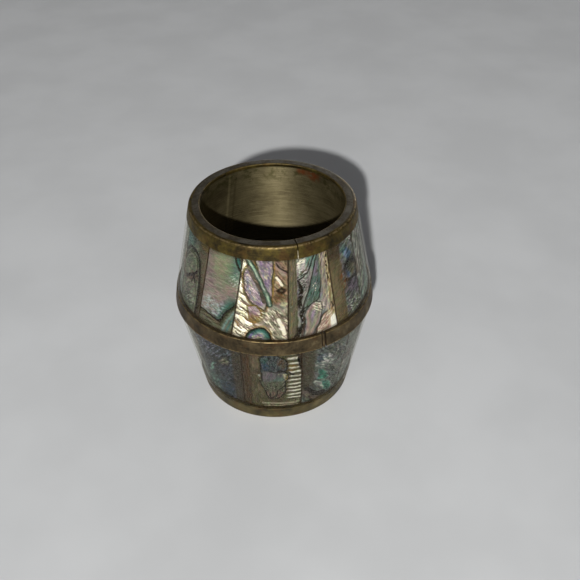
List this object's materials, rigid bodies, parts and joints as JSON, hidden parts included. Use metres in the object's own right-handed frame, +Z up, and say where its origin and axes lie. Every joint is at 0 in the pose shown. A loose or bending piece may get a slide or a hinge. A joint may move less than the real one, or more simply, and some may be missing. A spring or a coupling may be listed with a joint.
{
  "type": "pen holder cup",
  "caption": "Barrel-shaped open cup with a brass liner and bands, inlaid with two rows of polished shell panels under clear resin.",
  "frame": {"origin": "centre of the standing face, on the cup's own axis", "axes": "+Z up along the cup's axis, out of the mouth; -Y is the front, and +X is to the right of a person who looks at the front"},
  "size_m": [0.0714, 0.0714, 0.0762],
  "materials": {
    "brass_bands": "aged, mottled olive-gold patina with scratches and brighter worn edges",
    "brass_liner": "brushed round the cup, dulled, with rust-brown stains near the mouth",
    "brass_base": "dull tarnished sheet",
    "bedding_resin": "dark filled resin, rough",
    "clear_resin": "clear, polished, with fine scratches",
    "shell": "polished iridescent shell with layered contour lines"
  },
  "bodies": {
    "root": {"rim_band": "brass_bands", "waist_band": "brass_bands", "foot_band": "brass_bands", "upper_liner": "brass_liner", "lower_liner": "brass_liner", "base_plate": "brass_base", "upper_bedding_resin": "bedding_resin", "lower_bedding_resin": "bedding_resin", "upper_clear_resin": "clear_resin", "lower_clear_resin": "clear_resin", "upper_shell_panel_01": "shell", "upper_shell_panel_02": "shell", "upper_shell_panel_03": "shell", "upper_shell_panel_04": "shell", "upper_shell_panel_05": "shell", "upper_shell_panel_06": "shell", "upper_shell_panel_07": "shell", "upper_shell_panel_08": "shell", "upper_shell_panel_09": "shell", "upper_shell_panel_10": "shell", "upper_shell_panel_11": "shell", "upper_shell_panel_12": "shell", "upper_shell_panel_13": "shell", "lower_shell_panel_01": "shell", "lower_shell_panel_02": "shell", "lower_shell_panel_03": "shell", "lower_shell_panel_04": "shell", "lower_shell_panel_05": "shell", "lower_shell_panel_06": "shell", "lower_shell_panel_07": "shell", "lower_shell_panel_08": "shell", "lower_shell_panel_09": "shell", "lower_shell_panel_10": "shell"}
  },
  "joints": []
}
